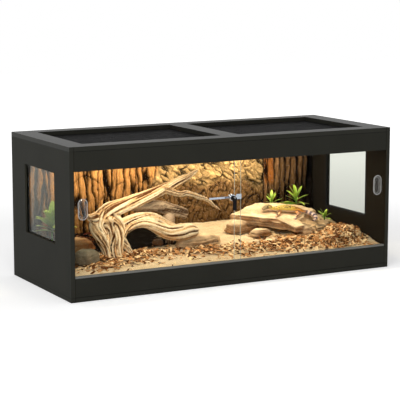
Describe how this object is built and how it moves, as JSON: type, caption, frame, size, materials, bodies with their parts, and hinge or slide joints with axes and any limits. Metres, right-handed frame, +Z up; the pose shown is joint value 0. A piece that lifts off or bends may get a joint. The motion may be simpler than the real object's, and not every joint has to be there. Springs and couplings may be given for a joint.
{
  "type": "terrarium",
  "caption": "Low wooden reptile terrarium with sliding glass doors and a showcase lock, side windows, meshed top openings, and a furnished desert landscape inside.",
  "frame": {"origin": "middle of the underside of the base board, without the lock that stands out in front", "axes": "+X along the front to the right, +Y to the back, +Z up; the doors and the lock face -Y"},
  "size_m": [1.2, 0.5102, 0.49],
  "materials": {
    "board": "dark grey-brown coated board, satin",
    "back_board": "thin coated back, matte",
    "glass": "clear float glass",
    "runner_plastic": "dark grey extruded plastic",
    "mesh_metal": "black coated wire mesh",
    "frame_plastic": "black plastic",
    "clear_plastic": "clear moulded plastic",
    "chrome_metal": "polished chrome plate",
    "steel": "plain steel",
    "black_plastic": "black plastic, fine grain",
    "dowel_wood": "beech",
    "bark": "dry bark, rough",
    "driftwood": "weathered driftwood",
    "sand": "pale fine sand",
    "rock": "rough stone",
    "mulch": "loose bark chips",
    "foliage": "artificial leaves"
  },
  "bodies": {
    "cabinet": {"base_panel": "board", "left_side_panel": "board", "right_side_panel": "board", "top_frame": "board", "front_bottom_rail": "board", "front_top_rail": "board", "runner_cover": "board", "back_panel": "back_board", "edge_dowels": "dowel_wood", "lower_runner": "runner_plastic", "upper_runner": "runner_plastic", "left_mesh": "mesh_metal", "right_mesh": "mesh_metal", "left_mesh_frame": "frame_plastic", "right_mesh_frame": "frame_plastic", "left_window_pane": "glass", "right_window_pane": "glass", "left_window_beads": "frame_plastic", "right_window_beads": "frame_plastic", "bark_backdrop": "bark", "sand_bed": "sand", "rock_slab": "rock", "slab_step_rear": "rock", "slab_step_front": "rock", "slab_prop": "rock", "grey_boulder": "rock", "rock_back_left": "rock", "dark_boulder": "rock", "flat_stone": "rock", "driftwood_main": "driftwood", "driftwood_upper_arch": "driftwood", "driftwood_lower_arch": "driftwood", "driftwood_twig": "driftwood", "driftwood_log": "driftwood", "pebble": "rock", "mulch_heap": "mulch", "mulch_scatter": "mulch", "moss_patch": "foliage", "left_plant": "foliage", "right_plant_large": "foliage", "right_plant_small": "foliage", "front_plant": "foliage"},
    "left_door": {"left_glass_door": "glass", "left_finger_pull": "clear_plastic", "lock_bar": "chrome_metal"},
    "right_door": {"right_glass_door": "glass", "right_finger_pull": "clear_plastic"},
    "lock": {"lock_barrel": "chrome_metal"},
    "key": {"lock_plug": "black_plastic", "key_blade": "steel"},
    "key_grip": {"key_head": "black_plastic"}
  },
  "joints": [
    {"name": "left_door_slide", "type": "slide", "parent": "cabinet", "child": "left_door", "axis": [1, 0, 0], "range_m": [0, 0.49]},
    {"name": "right_door_slide", "type": "slide", "parent": "cabinet", "child": "right_door", "axis": [-1, 0, 0], "range_m": [0, 0.43]},
    {"name": "lock_slide", "type": "slide", "parent": "right_door", "child": "lock", "axis": [-1, 0, 0], "range_m": [0, 0.06]},
    {"name": "key_turn", "type": "hinge", "parent": "lock", "child": "key", "pos_m": [-0.0248, -0.25, 0.2915], "axis": [0, -1, 0], "range_deg": [0, 90]},
    {"name": "key_fold", "type": "hinge", "parent": "key", "child": "key_grip", "pos_m": [-0.0248, -0.2626, 0.2915], "axis": [-1, 0, 0], "range_deg": [0, 90]}
  ]
}
